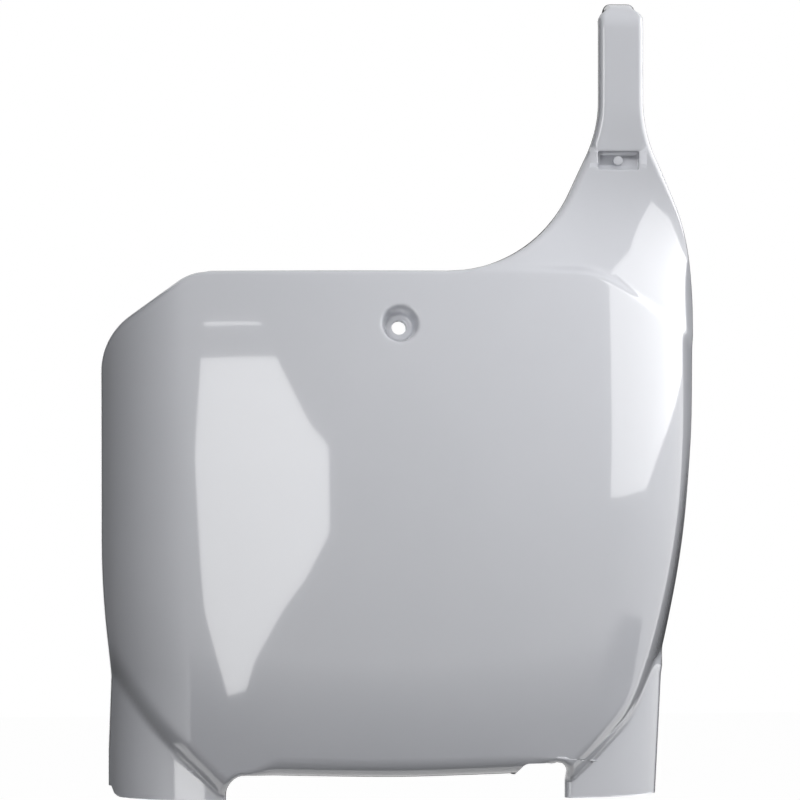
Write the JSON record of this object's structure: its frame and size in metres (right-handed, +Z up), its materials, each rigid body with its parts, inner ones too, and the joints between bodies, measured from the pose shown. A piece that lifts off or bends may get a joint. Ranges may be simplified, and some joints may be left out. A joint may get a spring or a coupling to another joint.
{
  "type": "racing number board",
  "caption": "One-piece moulded front number board for a motocross bike, with a side strap that hooks over the crossbar, a dimpled bolt hole and legs that lie over the fork tubes.",
  "frame": {"origin": "centre of the stem bolt hole on the back face of its seat", "axes": "the board faces -Y, X to the right as seen from the front, +Z up along the board's height"},
  "size_m": [0.2748, 0.0808, 0.3625],
  "materials": {
    "white_plastic": "glossy cool white moulded polypropylene"
  },
  "bodies": {
    "root": {"number_board": "white_plastic"}
  },
  "joints": []
}
